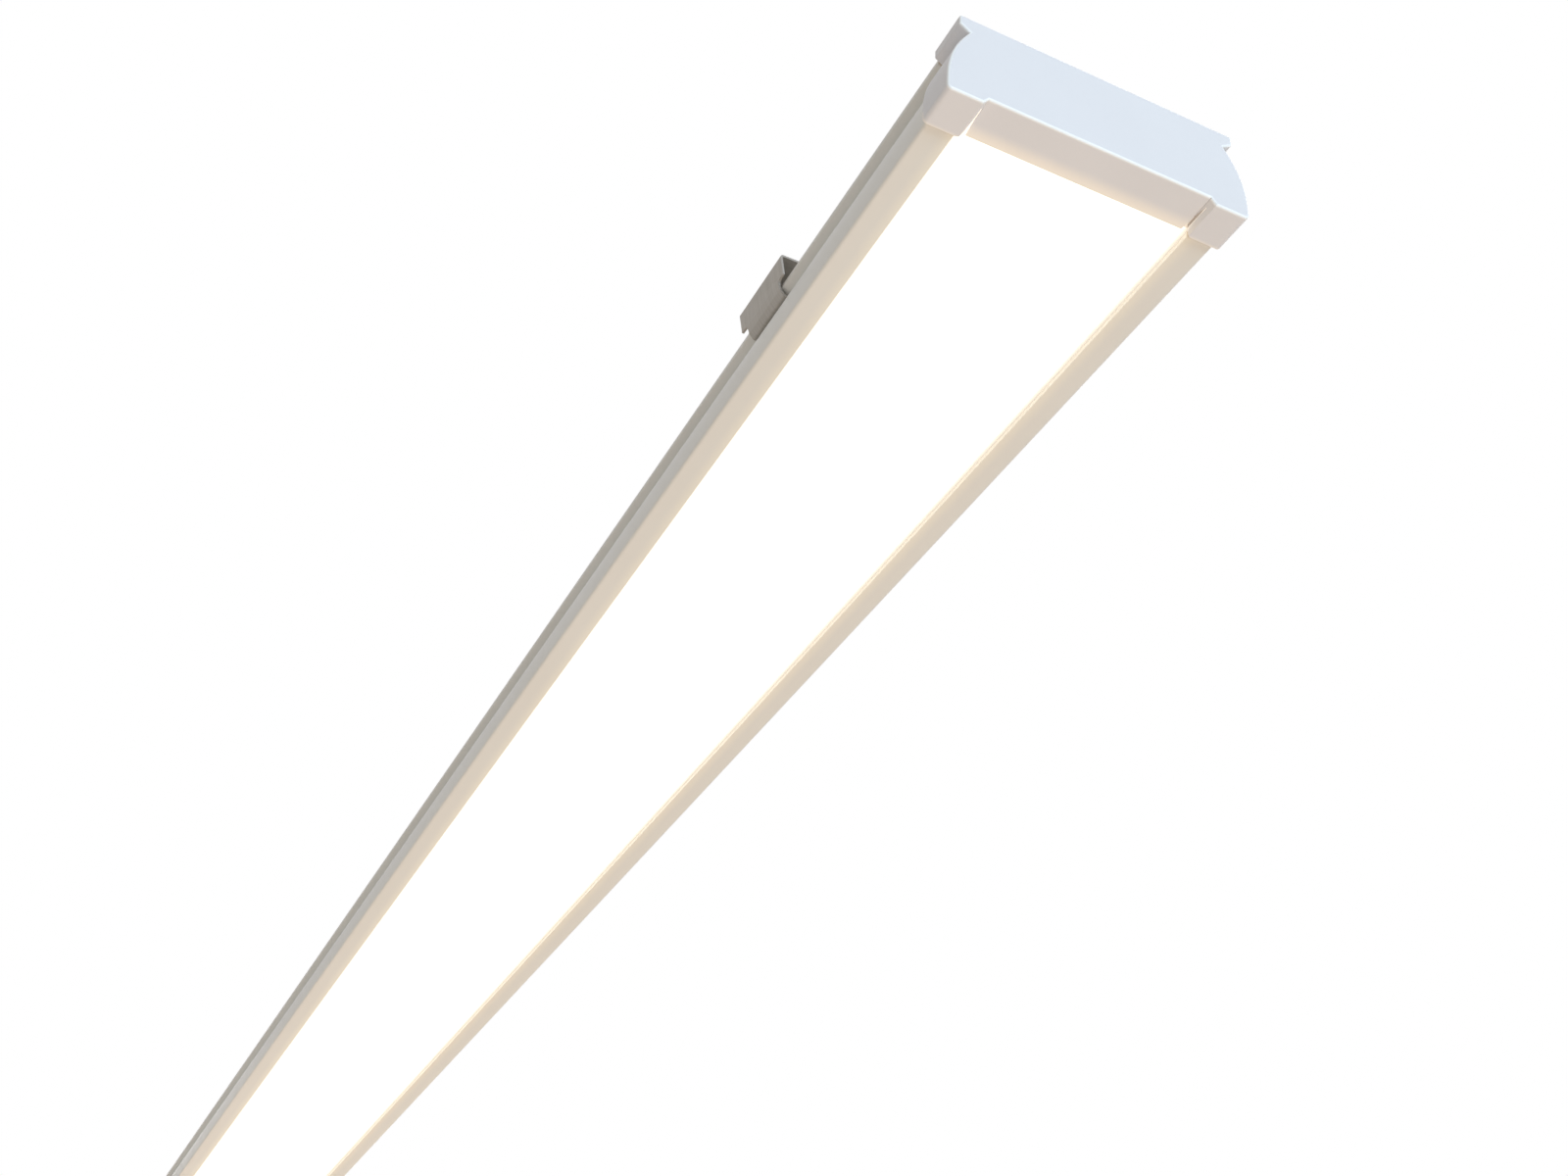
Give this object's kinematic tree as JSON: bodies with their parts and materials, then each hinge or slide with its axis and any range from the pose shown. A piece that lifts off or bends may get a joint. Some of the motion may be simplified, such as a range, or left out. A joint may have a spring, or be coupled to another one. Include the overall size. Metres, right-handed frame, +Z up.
{
  "type": "led linear light",
  "caption": "Slim ceiling batten: white extruded housing with bulged sides and lips, glowing opal strip between two rails, moulded end caps, and spring clips that hook under the lips.",
  "frame": {"origin": "on the ceiling plane, at the middle of the clips' four screw holes", "axes": "+X along the light towards the cable inlet, +Y across it, +Z up into the ceiling; the glowing face looks down, along -Z"},
  "size_m": [1.2013, 0.075, 0.03],
  "materials": {
    "housing": "satin white powder coat on extruded aluminium",
    "diffuser": "opal, fine satin",
    "end_cap": "satin white moulding",
    "grommet": "matt black",
    "tray": "galvanised sheet",
    "nylon": "natural nylon",
    "connector": "white moulding",
    "led_board": "white solder mask",
    "led_chip": "phosphor window in a white package",
    "driver_shell": "light grey moulding",
    "circuit": "green solder mask",
    "transformer": "ferrite with taped winding",
    "choke": "ferrite drum",
    "capacitor": "shrink sleeve",
    "screw": "zinc plated",
    "terminal": "light grey moulding",
    "button": "orange moulding",
    "tag": "tinned",
    "wire_brown": "PVC sleeve",
    "wire_blue": "PVC sleeve",
    "wire_green": "PVC sleeve",
    "wire_red": "PVC sleeve",
    "wire_black": "PVC sleeve",
    "clip": "dark spring steel"
  },
  "bodies": {
    "light": {"board_clips": "nylon", "board_links": "connector", "cable_grommet": "grommet", "diffuser": "diffuser", "driver_board": "circuit", "driver_capacitors": "capacitor", "driver_case": "driver_shell", "driver_choke": "choke", "driver_cover": "driver_shell", "driver_screws": "screw", "driver_transformer": "transformer", "earth_nut": "screw", "earth_screw": "screw", "earth_tag": "tag", "end_cap_far": "end_cap", "end_cap_near": "end_cap", "gear_tray": "tray", "housing": "housing", "lead_connector": "connector", "led_board_far_left": "led_board", "led_board_far_right": "led_board", "led_board_near_left": "led_board", "led_board_near_right": "led_board", "led_chips_far_left": "led_chip", "led_chips_far_right": "led_chip", "led_chips_near_left": "led_chip", "led_chips_near_right": "led_chip", "row_link": "connector", "terminal_block": "terminal", "tray_bush": "grommet", "wire_earth": "wire_green", "wire_led_negative": "wire_black", "wire_led_positive": "wire_red", "wire_live": "wire_brown", "wire_neutral": "wire_blue", "wire_saddles": "nylon"},
    "clip_near": {"mounting_clip_near": "clip"},
    "clip_far": {"mounting_clip_far": "clip"},
    "button_live": {"terminal_button_live": "button"},
    "button_earth": {"terminal_button_earth": "button"},
    "button_neutral": {"terminal_button_neutral": "button"}
  },
  "joints": [
    {"name": "clip_near_slide", "type": "slide", "parent": "light", "child": "clip_near", "axis": [1, 0, 0], "range_m": [-0.075, 0.488]},
    {"name": "clip_far_slide", "type": "slide", "parent": "light", "child": "clip_far", "axis": [-1, 0, 0], "range_m": [-0.075, 0.488]},
    {"name": "button_live_press", "type": "slide", "parent": "light", "child": "button_live", "axis": [-1, 0, 0], "range_m": [0, 0.0015], "stiffness_N_per_m": 200},
    {"name": "button_earth_press", "type": "slide", "parent": "light", "child": "button_earth", "axis": [-1, 0, 0], "range_m": [0, 0.0015], "stiffness_N_per_m": 200},
    {"name": "button_neutral_press", "type": "slide", "parent": "light", "child": "button_neutral", "axis": [-1, 0, 0], "range_m": [0, 0.0015], "stiffness_N_per_m": 200}
  ]
}
